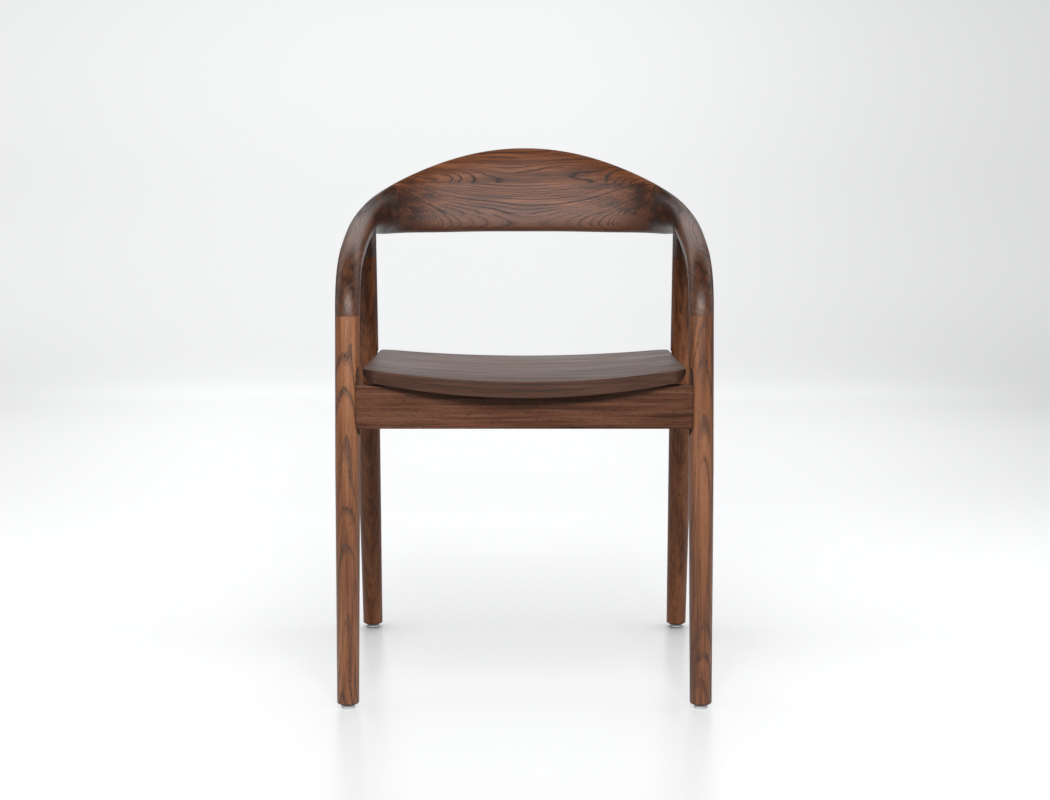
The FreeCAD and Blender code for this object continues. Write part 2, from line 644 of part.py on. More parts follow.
# The joint between arm and back is an upright plane square to the band's heading.
seam_row = min(BAND_SHARES, key=lambda row: abs(row[0] - SEAM_REACH_SHARE))
seam_centre, seam_across, seam_upward = band_station(seam_row, 1)[:3]
seam_turn = Rotation(Z_AXIS, seam_row[6])
arm_space = doc.addObject("Part::Box", "right_arm_space")
arm_space.setExpression("Length", spelled("2 * sizes.band_reach"))
arm_space.setExpression("Width", spelled("sizes.band_reach"))
arm_space.setExpression("Height", spelled("sizes.knee_seam_height + 2 * sizes.band_rise"))
space_corner = seam_turn.multVec(Vector(-1.5 * size("band_reach"), -size("band_reach"), 0))
arm_space.Placement = Placement(Vector(seam_centre.x, seam_centre.y, 0) + space_corner, seam_turn)
left_arm_space = mirrored("left_arm_space", arm_space)
arm_sweep = common("arm_sweep", band, arm_space)
back_sweep = cut("back_sweep", band, [arm_space, left_arm_space])



def arm_middle(depth):
    """Height of the band's middle at a depth behind the front leg axis."""
    share = depth / size("band_reach")
    before = max(row for row in BAND_SHARES if row[0] <= share)
    after = min(row for row in BAND_SHARES if row[0] > share)
    rise = before[2] + (after[2] - before[2]) * (share - before[0]) / (after[0] - before[0])
    return size("knee_seam_height") + rise * size("band_rise")


stub = doc.addObject("Part::Feature", "arm_stub")
stub_radius = size("rear_leg_top_diameter") / 2
stub_length = stub_radius * rear_direction.Length / rear_direction.z
stub_rise = arm_middle(size("rear_top_depth")) - size("rear_seam_height")
stub.Shape = Part.makeLoft([
    ring(rear_axis(size("rear_seam_height") + rise * stub_rise), X_AXIS, Y_AXIS,
         stub_radius * wide, stub_length * deep, 2)
    for rise, wide, deep in STUB_SHARES], True, False)
arm_blank = doc.addObject("Part::Fuse", "arm_blank")
arm_blank.Base = arm_sweep
arm_blank.Tool = stub
doc.recompute()


# Loose tenons, dowels, screws and nails: one of each kind, then the places where they go

def loose_tenon(name, width, length):
    """Flat tenon with rounded long edges, centred on the origin: length along X, width along Z."""
    corners = [("-sizes.tenon_thickness / 2", f"-{width} / 2"), ("sizes.tenon_thickness / 2", f"-{width} / 2"),
               ("sizes.tenon_thickness / 2", f"{width} / 2"), ("-sizes.tenon_thickness / 2", f"{width} / 2")]
    tenon = padded(name, corners, length, "YZ_Plane", f"-{length} / 2")
    ease(tenon, "sizes.tenon_rounding", lambda edge: along(edge, X_AXIS))
    return tenon


def dowel(name, diameter, length):
    """Round dowel with chamfered ends, centred on the origin along Z."""
    return turned(name, [
        ("0", f"-{length} / 2"),
        (f"{diameter} / 2 - sizes.dowel_chamfer", f"-{length} / 2"),
        (f"{diameter} / 2", f"-({length} / 2 - sizes.dowel_chamfer)"),
        (f"{diameter} / 2", f"{length} / 2 - sizes.dowel_chamfer"),
        (f"{diameter} / 2 - sizes.dowel_chamfer", f"{length} / 2"),
        ("0", f"{length} / 2"),
    ])


def screw(name, length, head, head_top):
    """Turned screw with a pointed shank down from height zero and a head above it."""
    return turned(name, [
        ("0", f"-{length}"),
        ("sizes.screw_diameter / 2", f"-({length} - sizes.screw_diameter)"),
        ("sizes.screw_diameter / 2", "0"),
        (head, "0"),
        (head, head_top),
        ("0", head_top),
    ])


def screw_pair(name, length):
    """A screw, and what it takes away: its shank and a bore for the head and the driver."""
    piece = screw(name, length, "sizes.screw_head_diameter / 2", "sizes.screw_head_height")
    bore = "sizes.screw_head_diameter / 2 + sizes.screw_play"
    return piece, screw(name + "_space", length, bore, "sizes.rail_height")


def everywhere(name, source, places):
    """Copies of one fitting at several places."""
    return [placed_copy(f"{name}_{i}", source, place) for i, place in enumerate(places, start=1)]


def both_sides(copies):
    """The copies of the right side and their mirror images."""
    return copies + [mirrored(f"{item.Name}_left", item) for item in copies]


half_rail = size("rail_length") / 2
front_mid = Vector(half_rail, size("rail_thickness") / 2 - size("rail_setback"),
                   size("rail_tenon_rise") - size("rail_height") / 2)
rear_mid = Vector(half_rail, size("rail_setback") - size("rail_thickness") / 2,
                  size("rail_tenon_rise") - size("rear_rail_height") / 2)
rail_tenon = loose_tenon("rail_tenon", "sizes.rail_tenon_width", "sizes.rail_tenon_length")
front_rail_tenon, rear_rail_tenon = everywhere("rail_tenon_place", rail_tenon, [
    front_rail_place.multiply(Placement(front_mid, Rotation())),
    rear_rail_place.multiply(Placement(rear_mid, Rotation())),
])

side_x = leg_x(size("side_rail_front"))
side_front_mid = size("side_rail_front") - size("side_rail_height") / 2
side_rear_mid = size("side_rail_rear") - size("side_rail_height") / 2
front_radius = size("leg_diameter") / 2
rear_radius = size("rear_leg_diameter") / 2
raked = rear_direction.Length / rear_direction.z
side_tenon = loose_tenon("side_tenon", "sizes.side_tenon_width", "sizes.side_tenon_length")
front_side_tenon, rear_side_tenon = everywhere("side_tenon_place", side_tenon, [
    Placement(Vector(side_x, size("front_leg_y") + front_radius, side_front_mid), Rotation(X_AXIS, Y_AXIS)),
    Placement(Vector(side_x, rear_axis(side_rear_mid).y - rear_radius * raked, side_rear_mid),
              Rotation(X_AXIS, Y_AXIS)),
])

leg_dowel = dowel("leg_dowel", "sizes.leg_dowel_diameter", "sizes.leg_dowel_length")
knee_dowel, stub_dowel = everywhere("leg_dowel_place", leg_dowel, [
    pointing(front_axis(size("knee_seam_height")), front_direction),
    pointing(rear_axis(size("rear_seam_height")), rear_direction),
])
back_dowel = dowel("back_dowel", "sizes.back_dowel_diameter", "sizes.back_dowel_length")
seam_ahead = seam_upward.cross(seam_across)
lower_back_dowel, upper_back_dowel = everywhere("back_dowel_place", back_dowel, [
    pointing(seam_centre - seam_upward * size("back_dowel_drop"), seam_ahead),
    pointing(seam_centre + seam_upward * size("back_dowel_rise"), seam_ahead),
])

# Corner blocks and their screws. A block's two outer faces meet at the corner of the rails.
side_face = side_x - size("side_rail_thickness") / 2
front_block_low = size("rail_top") - size("front_block_drop") - size("block_height")
rear_block_low = size("rear_rail_top") - size("rear_block_drop") - size("block_height")
front_inner_face = size("front_leg_y") - size("rail_setback") + size("rail_thickness")
rear_inner_face = rear_axis(rear_block_low).y - (size("rail_thickness") - size("rail_setback")) * raked
front_corner = Vector(side_face, front_inner_face, front_block_low)
rear_corner = Vector(side_face, rear_inner_face, rear_block_low)


def corner_block(name, corner, sign):
    """Prism along two rails with square ends and a cut corner around the leg."""
    block = padded(name, [
        ("-sizes.block_reach", "0"),
        ("-sizes.block_clearance", "0"),
        ("0", f"{sign}sizes.block_clearance"),
        ("0", f"{sign}sizes.block_reach"),
        ("-sizes.block_end", f"{sign}sizes.block_reach"),
        ("-sizes.block_reach", f"{sign}sizes.block_end"),
    ], "sizes.block_height")
    block.Placement = Placement(corner, Rotation())
    return block


def block_screw_places(corner, direction):
    """Places of a block's two screws: one into the front or rear rail, one into the side rail."""
    middle = size("block_height") / 2
    offset = size("block_screw_offset")
    seat = size("block_screw_seat")
    return [pointing(corner + Vector(-offset, direction * seat, middle), Y_AXIS * direction),
            pointing(corner + Vector(-seat, direction * offset, middle), X_AXIS * -1)]


def seat_screw_places(mid_plane, place):
    """Places of the seat screws in a rail, each a set depth under the seat."""
    places = []
    sunk = size("seat_screw_length") - size("seat_screw_grip")
    upside_down = place.Rotation.multiply(Rotation(Z_AXIS, Z_AXIS * -1))
    for column in (-1, 0, 1):
        x = column * size("seat_screw_spacing")
        climb = 0
        for _ in range(3):
            under = place.multVec(Vector(x, mid_plane, climb))
            climb += seat_low(x, under.y) - under.z
        places.append(Placement(place.multVec(Vector(x, mid_plane, climb - sunk)), upside_down))
    return places


block_screw, block_space = screw_pair("block_screw", "sizes.block_screw_length")
seat_screw, seat_space = screw_pair("seat_screw", "sizes.seat_screw_length")
front_block_places = block_screw_places(front_corner, 1)
rear_block_places = block_screw_places(rear_corner, -1)
front_seat_places = seat_screw_places(front_mid.y, front_rail_place)
rear_seat_places = seat_screw_places(rear_mid.y, rear_rail_place)
front_block_spaces = everywhere("front_block_space", block_space, front_block_places)
rear_block_spaces = everywhere("rear_block_space", block_space, rear_block_places)
front_seat_spaces = everywhere("front_seat_space", seat_space, front_seat_places)
rear_seat_spaces = everywhere("rear_seat_space", seat_space, rear_seat_places)

# Glides and their nails, standing on the floor under the middle of each foot
NAIL_TOP = "(sizes.nail_recess + sizes.nail_head_height + sizes.nail_length)"
glide_form = turned("glide_form", [
    ("sizes.nail_head_diameter / 2", "0"),
    ("sizes.glide_diameter / 2", "0"),
    ("sizes.glide_diameter / 2", "sizes.glide_height - sizes.glide_collar_height"),
    ("sizes.glide_collar_diameter / 2", "sizes.glide_height - sizes.glide_collar_height"),
    ("sizes.glide_collar_diameter / 2", "sizes.glide_height"),
    ("sizes.nail_diameter / 2", "sizes.glide_height"),
    ("sizes.nail_diameter / 2", "sizes.nail_recess + sizes.nail_head_height"),
    ("sizes.nail_head_diameter / 2", "sizes.nail_recess + sizes.nail_head_height"),
])
ease(glide_form, "sizes.glide_rounding", lambda edge: edge.BoundBox.ZMax < size("glide_rounding")
     and edge.BoundBox.XMax > size("nail_head_diameter"))
nail_form = turned("nail_form", [
    ("0", "sizes.nail_recess"),
    ("sizes.nail_head_diameter / 2", "sizes.nail_recess"),
    ("sizes.nail_head_diameter / 2", "sizes.nail_recess + sizes.nail_head_height"),
    ("sizes.nail_diameter / 2", "sizes.nail_recess + sizes.nail_head_height"),
    ("sizes.nail_diameter / 2", f"{NAIL_TOP} - sizes.nail_diameter"),
    ("0", NAIL_TOP),
])
feet = [Placement(Vector(foot.x, foot.y, 0), Rotation())
        for foot in (front_axis(size("glide_height")), rear_axis(size("glide_height")))]
front_nail, rear_nail = everywhere("glide_nail_place", nail_form, feet)
front_glide, rear_glide = everywhere("glide_place", glide_form, feet)

# Pieces of the right side
right_front_leg = cut("right_front_leg", front_turned, [
    front_notch, front_rail_tenon, front_side_tenon, knee_dowel, front_nail])
right_rear_leg = cut("right_rear_leg", rear_turned, [
    rear_notch, rear_rail_tenon, rear_side_tenon, stub_dowel, rear_nail])
right_arm = cut("right_arm", arm_blank, [knee_dowel, stub_dowel, lower_back_dowel, upper_back_dowel])

SIDE_END = ("sizes.front_leg_y + sizes.leg_base_depth - sizes.rear_rake"
            " * (sizes.side_rail_rear - sizes.side_rail_height / 2) / sizes.rear_seam_height")
side_blank = padded("side_rail_blank", [
    ("-(-sizes.front_leg_y)", "sizes.side_rail_front - sizes.side_rail_height"),
    (SIDE_END, "sizes.side_rail_rear - sizes.side_rail_height"),
    (SIDE_END, "sizes.side_rail_rear"),
    ("-(-sizes.front_leg_y)", "sizes.side_rail_front"),
], "sizes.side_rail_thickness", "YZ_Plane", "-sizes.side_rail_thickness / 2")
side_blank.Placement = Placement(Vector(side_x, 0, 0), Rotation())
right_side_rail = cut("right_side_rail", side_blank, [
    front_turned, rear_turned, front_side_tenon, rear_side_tenon, front_block_spaces[1], rear_block_spaces[1]])
right_front_block = cut("right_front_corner_block", corner_block("front_block", front_corner, ""),
                        front_block_spaces)
right_rear_block = cut("right_rear_corner_block", corner_block("rear_block", rear_corner, "-"),
                       [rear_rail_form] + rear_block_spaces)

# Rails across the chair, hollowed by the seat that rests on them
front_rail = cut("front_rail", front_rail_form, [seat_form] + both_sides([
    front_rail_tenon, front_block_spaces[0]]) + front_seat_spaces)
rear_rail = cut("rear_rail", rear_rail_form, [seat_form] + both_sides([
    rear_rail_tenon, rear_block_spaces[0]]) + rear_seat_spaces)

# Boards of the back, glued up one above the other
back_pieces = []
back_low = "sizes.knee_seam_height"
for name, top in (("back_lower_board", "sizes.lower_glue_height"),
                  ("back_middle_board", "sizes.upper_glue_height"),
                  ("back_upper_board", "(sizes.knee_seam_height + 2 * sizes.band_rise)")):
    level = box(name + "_level", "2 * sizes.band_reach", "2 * sizes.band_reach", f"{top} - {back_low}",
                ("-sizes.band_reach", "-sizes.band_reach", back_low))
    back_pieces.append(common(name + "_blank", back_sweep, level))
    back_low = top
lower_board, middle_board, upper_board = back_pieces
lower_board = cut("back_lower_board", lower_board, both_sides([lower_back_dowel]))
middle_board = cut("back_middle_board", middle_board, both_sides([upper_back_dowel]))
upper_board.Label = "back_upper_board"

# Boards of the seat, glued up side by side from front to rear
seat_pieces = []
count = int(size("seat_boards"))
for number in range(1, count + 1):
    name = f"seat_board_{number}"
    strip = box(name + "_strip", "sizes.seat_width", "sizes.seat_depth / sizes.seat_boards",
                "sizes.seat_front_height + 2 * sizes.seat_front_sag",
                ("-sizes.seat_width / 2",
                 f"{SEAT_FRONT_Y} + {number - 1} * sizes.seat_depth / sizes.seat_boards", "0"))
    board = common(name + "_blank", seat_eased, strip)
    screws = [space for space in front_seat_spaces + rear_seat_spaces
              if space.Shape.BoundBox.intersect(board.Shape.BoundBox)]
    if screws:
        board = cut(name, board, screws)
    board.Label = name
    seat_pieces.append(board)

# Every node of the chair with the number of solids in it
nodes = [(piece, 1) for piece in (
    lower_board, middle_board, upper_board, right_arm, mirrored("left_arm", right_arm),
    right_front_leg, mirrored("left_front_leg", right_front_leg),
    right_rear_leg, mirrored("left_rear_leg", right_rear_leg),
    front_rail, rear_rail, right_side_rail, mirrored("left_side_rail", right_side_rail),
    right_front_block, mirrored("left_front_corner_block", right_front_block),
    right_rear_block, mirrored("left_rear_corner_block", right_rear_block))]
nodes += [(board, 1) for board in seat_pieces]
for glide, name in ((front_glide, "front_glide"), (rear_glide, "rear_glide")):
    glide.Label = "right_" + name
    nodes += [(glide, 1), (mirrored("left_" + name, glide), 1)]
nodes += [
    (grouped("rail_tenons", both_sides([front_rail_tenon, rear_rail_tenon])), 4),
    (grouped("side_rail_tenons", both_sides([front_side_tenon, rear_side_tenon])), 4),
    (grouped("leg_dowels", both_sides([knee_dowel, stub_dowel])), 4),
    (grouped("back_dowels", both_sides([lower_back_dowel, upper_back_dowel])), 4),
    (grouped("corner_block_screws", both_sides(everywhere(
        "corner_block_screw", block_screw, front_block_places + rear_block_places))), 8),
    (grouped("seat_screws", everywhere(
        "seat_screw_place", seat_screw, front_seat_places + rear_seat_places)), 6),
    (grouped("glide_nails", both_sides([front_nail, rear_nail])), 4),
]
doc.recompute()

faulty = [thing.Label for thing in doc.Objects if {"Invalid", "Error"} & set(thing.State)]
if faulty:
    raise RuntimeError(f"objects that did not build: {faulty}")
for piece, solids in nodes:
    shape = piece.Shape
    if shape.isNull() or not shape.isValid() or len(shape.Solids) != solids:
        raise RuntimeError(f"{piece.Label} is not {solids} sound solids")

os.makedirs("parts", exist_ok=True)
for piece, solids in nodes:
    piece.Shape.exportStep(f"parts/{piece.Label}.step")
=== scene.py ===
import math

import bpy
from mathutils import Matrix, Vector

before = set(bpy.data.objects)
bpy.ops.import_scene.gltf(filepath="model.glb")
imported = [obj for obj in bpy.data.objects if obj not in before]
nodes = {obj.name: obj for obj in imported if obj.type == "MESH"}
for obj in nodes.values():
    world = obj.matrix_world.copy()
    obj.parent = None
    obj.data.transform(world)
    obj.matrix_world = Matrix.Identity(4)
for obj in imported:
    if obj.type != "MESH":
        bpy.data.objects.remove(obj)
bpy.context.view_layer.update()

# Horseshoe back armchair: materials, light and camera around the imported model.
# Metres, Z up, the chair faces -Y, and left and right are as seen from the front.
# A slope is smooth: from, to, value at from and value at to, or 0 and 1 where these aren't given.
# Colours are linear.

scene = bpy.context.scene


# Shader node helpers

class Shader:
    """A material or world whose nodes are added and linked in one call each."""

    def __init__(self, owner):
        self.owner = owner
        owner.use_nodes = True
        self.tree = owner.node_tree

    def put(self, socket, value):
        if isinstance(value, bpy.types.NodeSocket):
            self.tree.links.new(value, socket)
        else:
            socket.default_value = value

    def node(self, kind, inputs=(), **settings):
        made = self.tree.nodes.new(kind)
        for key, value in settings.items():
            setattr(made, key, value)
        for key, value in (inputs.items() if isinstance(inputs, dict) else enumerate(inputs)):
            self.put(made.inputs[key], value)
        return made

    def math(self, operation, *values, clamp=False):
        return self.node("ShaderNodeMath", values, operation=operation, use_clamp=clamp).outputs[0]

    def vector(self, operation, *values):
        made = self.node("ShaderNodeVectorMath", values, operation=operation)
        return made.outputs["Value" if operation in ("LENGTH", "DOT_PRODUCT") else "Vector"]

    def noise(self, vector, detail=2.0, roughness=0.5, colour=False):
        made = self.node("ShaderNodeTexNoise", {"Vector": vector, "Scale": 1.0, "Detail": detail,
                                                "Roughness": roughness})
        return made.outputs["Color" if colour else "Fac"]

    def slope(self, value, low, high, to_low=0.0, to_high=1.0):
        return self.node("ShaderNodeMapRange", {"Value": value, "From Min": low, "From Max": high,
                                                "To Min": to_low, "To Max": to_high},
                         interpolation_type="SMOOTHSTEP").outputs[0]

    def sway(self, value, amount, base):
        """base plus amount times how far a noise value is from its middle."""
        return self.math("MULTIPLY_ADD", self.math("SUBTRACT", value, 0.5), amount, base)

    def mix(self, share, first, second):
        made = self.node("ShaderNodeMix", data_type="RGBA")
        self.put(made.inputs["Factor"], share)
        for socket, colour in (("A", first), ("B", second)):
            linked = isinstance(colour, bpy.types.NodeSocket)
            self.put(made.inputs[socket], colour if linked else (*colour, 1))
        return made.outputs["Result"]

    def ramp(self, value, stops):
        made = self.node("ShaderNodeValToRGB", [value])
        ramp = made.color_ramp
        while len(ramp.elements) < len(stops):
            ramp.elements.new(0.5)
        for element, (place, colour) in zip(ramp.elements, stops):
            element.position = place
            element.color = (*colour, 1)
        return made.outputs[0]

    def speckle(self, fineness, stops):
        """A noise fineness times per metre, and its two colours, each stop a noise value and a colour."""
        place = self.node("ShaderNodeTexCoord").outputs["Object"]
        noise = self.noise(self.vector("MULTIPLY", place, (fineness, fineness, fineness)))
        return noise, self.ramp(noise, stops)

    def seen(self):
        """Whether a point is looked at, and whether it is mirrored or seen through, each 1 or 0."""
        path = self.node("ShaderNodeLightPath").outputs
        through = self.math("MAXIMUM", path["Is Glossy Ray"], path["Is Transmission Ray"])
        return path["Is Camera Ray"], through

    def finish(self, **sockets):
        """Set or link the surface's sockets, which have spaces where the names here have underscores."""
        surface = self.tree.nodes["Principled BSDF"]
        for name, value in sockets.items():
            self.put(surface.inputs[name.replace("_", " ")], value)
        return self.owner


def paint(name):
    return Shader(bpy.data.materials.new(name))


def dress(node, material):
    """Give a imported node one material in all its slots."""
    mesh = nodes[node].data
    if not mesh.materials:
        mesh.materials.append(material)
    for slot in range(len(mesh.materials)):
        mesh.materials[slot] = material


# Wood

# Noise in a board: how often it changes along and across the grain, per metre, an offset of its own,
# and the detail and roughness of the noise. Sway and streaks are as often as each board asks.
SWAY_NOISE = (0.0, 1.0, 0.4)
STREAK_NOISE = (9.1, 2.0, 0.5)
RIPPLE_NOISE = (26, 80, 1.7, 2.0, 0.55)
BAND_NOISE = (9, 50, 4.1, 1.0, 0.5)
PORE_NOISE = (150, 640, 7.3, 1.0, 0.5)
FIBRE_NOISE = (13, 330, 2.9, 3.0, 0.62)
PATCH_NOISE = (4, 14, 5.9, 2.0, 0.5)
SWAY_ACROSS = 4                            # how much more often the rings stray across than along
STREAK_ALONG = 4.5                         # how often a streak changes along the board, per metre
SEED_STEPS = (3.7, 1.3, 2.1)               # how far one seed is from the next in each direction

# Year rings
UNEVEN_RINGS = (2.7, 2.2, 1.0, 0.5)        # over how many rings they vary, by how many, and the noise
BAND_START = (0.0, 0.05)                   # share of a ring in which its dark band sets in
BAND_CORE = 0.28                           # share of the band before it fades
BAND_STRENGTH = (0.32, 0.60, 0.30, 1.0)    # slope from the noise to the darkness of a band
PORE_EDGE = (0.55, 0.66)                   # noise values between which a pore's edge lies
LATE_WOOD = (0.55, 1.0)                    # share of a ring over which its colour deepens
END_GRAIN = (0.05, 0.50)                   # how squarely a face cuts the grain, from none to full effect

# Tone, from 0 for dark over 0.5 for middle to 1 for light, and what moves it
PLAIN_TONE = 0.55
FIBRE_TONE = 1.3
STREAK_TONE = 1.7
PATCH_TONE = 1.6
LATE_TONE = -0.10
SHADOW_CORE = 0.3                          # share of a shadow's reach that is darkest
BAND_OF_DARK = 0.75                        # a band's colour: this much of the dark colour
BAND_OF_GREY = 0.45                        # and this much of its grey

# Relief and gloss
FIBRE_RELIEF = 0.4
BAND_RELIEF = -0.3
PORE_RELIEF = -1.0
BUMP = {"Strength": 0.4, "Distance": 0.0005}
FIBRE_ROUGHNESS = 0.14
BAND_ROUGHNESS = 0.12


def wood(name, tones, grain, face, pith, seed, ring=0.005, wander=0.006, sway=5.0, taper=0.0,
         ripple=0.3, early=0.36, line=0.6, dots=0.8, streaks=0.5, streak_count=85, clouds=0.3,
         end_dark=0.4, scatter=0.14, shadows=(), roughness=0.41, level=0.5, polish=0.0):
    """Ring porous hardwood, stained, as a solid texture.

    tones are the dark, middle and light colour. grain is the direction along the board and face the
    direction from the pith to the face, both in the chair's axes. pith is a point on the heart of the
    log. ring is the width of a year ring, early the share of it that has pores, wander how far the
    rings stray, sway how often they do along the board, per metre, taper how far they move towards
    the pith per metre along it, and ripple how many rings high their small waves are. line, dots,
    streaks and clouds are how strongly the dark bands, the pores, the fine streaks and the broad
    patches show, and end_dark how much darker a face is the more squarely it cuts the grain.
    streak_count is per metre across the board, and polish is how much the gloss changes from streak
    to streak. scatter is the share of pores outside the bands. shadows are painted shade, each its
    middle, reach and depth, darkening the wood where shade falls on the chair. roughness and level
    are the surface's own."""
    shader = paint(name)
    dark, middle, light = tones
    along = Vector(grain).normalized()
    outward = Vector(face)
    outward = (outward - along * outward.dot(along)).normalized()
    turn = Matrix((along, outward, along.cross(outward)))
    place = shader.node("ShaderNodeTexCoord").outputs
    board = shader.node("ShaderNodeMapping", {"Vector": place["Object"], "Rotation": turn.to_euler(),
                                              "Location": -(turn @ Vector(pith))}).outputs[0]

    def noise(lengthwise, crosswise, offset, detail, coarseness, colour=False):
        moved = shader.vector("ADD", board, [seed * step + offset for step in SEED_STEPS])
        stretched = shader.vector("MULTIPLY", moved, (lengthwise, crosswise, crosswise))
        return shader.noise(stretched, detail, coarseness, colour)

    # The rings stray slowly along the board and faster across it.
    bend = noise(sway, sway * SWAY_ACROSS, *SWAY_NOISE, colour=True)
    bend = shader.vector("SUBTRACT", bend, (0.5, 0.5, 0.5))
    bend = shader.vector("MULTIPLY", bend, (0, wander * 2, wander * 2))
    flat = shader.vector("MULTIPLY", shader.vector("ADD", board, bend), (0, 1, 1))
    distance = shader.vector("LENGTH", flat)
    lengthwise = shader.node("ShaderNodeSeparateXYZ", [board]).outputs[0]
    distance = shader.math("MULTIPLY_ADD", lengthwise, taper, distance)
    distance = shader.math("MULTIPLY_ADD", noise(*RIPPLE_NOISE), ring * ripple, distance)
    span, amount, detail, coarseness = UNEVEN_RINGS
    years = shader.node("ShaderNodeCombineXYZ", [distance, seed, 0.0]).outputs[0]
    years = shader.vector("MULTIPLY", years, (1 / (ring * span), 1, 1))
    uneven = shader.noise(years, detail, coarseness)
    rings = shader.math("MULTIPLY_ADD", uneven, amount, shader.math("DIVIDE", distance, ring))
    share = shader.math("FRACT", rings)

    # A ring opens with a dark band of pores and ends in plain wood.
    fading = shader.slope(share, early * BAND_CORE, early, 1.0, 0.0)
    band = shader.math("MULTIPLY", shader.slope(share, *BAND_START), fading)
    band = shader.math("MULTIPLY", band, shader.slope(noise(*BAND_NOISE), *BAND_STRENGTH))
    pore = shader.slope(noise(*PORE_NOISE), *PORE_EDGE)
    pore = shader.math("MULTIPLY", pore, shader.math("MULTIPLY_ADD", band, 1 - scatter, scatter))
    fibre = noise(*FIBRE_NOISE)
    streak = noise(STREAK_ALONG, streak_count, *STREAK_NOISE)
    patch = noise(*PATCH_NOISE)

    end = shader.math("ABSOLUTE", shader.vector("DOT_PRODUCT", place["Normal"], tuple(along)))
    end = shader.slope(end, *END_GRAIN)

    tone = shader.sway(fibre, FIBRE_TONE * streaks, PLAIN_TONE)
    tone = shader.sway(streak, STREAK_TONE * streaks, tone)
    tone = shader.sway(patch, PATCH_TONE * clouds, tone)
    tone = shader.math("MULTIPLY_ADD", shader.slope(share, *LATE_WOOD), LATE_TONE, tone)
    tone = shader.math("MULTIPLY_ADD", end, -end_dark, tone, clamp=True)
    # Painted shade: each shadow darkens the tone around its middle, where shade falls on the chair.
    for heart, reach, depth in shadows:
        away = shader.vector("LENGTH", shader.vector("SUBTRACT", place["Object"], heart))
        shadow = shader.slope(away, reach * SHADOW_CORE, reach, -depth, 0.0)
        tone = shader.math("ADD", tone, shadow, clamp=True)
    colour = shader.ramp(tone, [(0.0, dark), (0.5, middle), (1.0, light)])
    greyed = [c * BAND_OF_DARK + sum(dark) / 3 * BAND_OF_GREY for c in dark]
    colour = shader.mix(shader.math("MULTIPLY", band, line, clamp=True), colour, greyed)
    colour = shader.mix(shader.math("MULTIPLY", pore, dots, clamp=True), colour, OPEN_PORE)

    height = shader.math("MULTIPLY", fibre, FIBRE_RELIEF)
    height = shader.math("MULTIPLY_ADD", pore, PORE_RELIEF, height)
    height = shader.math("MULTIPLY_ADD", band, BAND_RELIEF, height)
    bump = shader.node("ShaderNodeBump", {**BUMP, "Height": height}).outputs[0]
    rough = shader.sway(fibre, FIBRE_ROUGHNESS, roughness)
    rough = shader.math("MULTIPLY_ADD", band, BAND_ROUGHNESS, rough)
    rough = shader.sway(streak, polish, rough)
    return shader.finish(Base_Color=colour, Roughness=rough, Normal=bump, Specular_IOR_Level=level)


# Dark, middle and light colour of each part's wood
OPEN_PORE = (0.010, 0.005, 0.004)
LEG = ((0.066, 0.020, 0.007), (0.238, 0.086, 0.033), (0.375, 0.160, 0.075))
REAR_LEG = ((0.062, 0.021, 0.009), (0.218, 0.080, 0.034), (0.330, 0.136, 0.064))
UPPER = ((0.032, 0.009, 0.004), (0.125, 0.039, 0.014), (0.235, 0.087, 0.036))
BACK = ((0.036, 0.011, 0.005), (0.130, 0.042, 0.016), (0.235, 0.088, 0.038))
ARM = ((0.022, 0.008, 0.004), (0.092, 0.032, 0.013), (0.168, 0.065, 0.030))
RAIL = ((0.034, 0.013, 0.007), (0.104, 0.040, 0.021), (0.176, 0.076, 0.043))
SEAT = ((0.032, 0.014, 0.008), (0.088, 0.038, 0.023), (0.150, 0.073, 0.046))
BARE = ((0.22, 0.13, 0.07), (0.34, 0.22, 0.13), (0.45, 0.31, 0.19))

# Each side's name, its X direction, and how light its front leg and its rear leg are
SIDES = (("left", -1, 1.07, 1.05), ("right", 1, 0.93, 1.32))

# Painted shade on the left and right pieces: distance from the middle of the chair, depth and height
# of the middle, then reach and depth. The notch is where the rail and the seat meet the front leg.
# Painted shade in the notch, the narrow recess between the front leg, the rail and the seat
NOTCH_SHADOWS = ((0.2325, -0.237, 0.462, 0.013, 0.6), (0.2325, -0.237, 0.472, 0.013, 0.6),
                 (0.2325, -0.237, 0.482, 0.013, 0.6))
# Painted shade at the top of the rear leg, under the seat and the arm
REAR_LEG_SHADOW = (0.235, 0.13, 0.62, 0.21, 0.42)
# Painted shade at the elbow, where the arm turns into the back and they shade each other
ELBOW_SHADOW = (0.205, 0.13, 0.660, 0.17, 0.43)
# Painted shade on the knee's crown, which the light leaves darker
KNEE_SHADOW = (0.250, -0.248, 0.622, 0.052, 0.20)


def shaded(tones, shade):
    return [[c * shade for c in tone] for tone in tones]


def on_side(sign, shadows):
    return [((sign * x, y, z), reach, depth) for x, y, z, reach, depth in shadows]


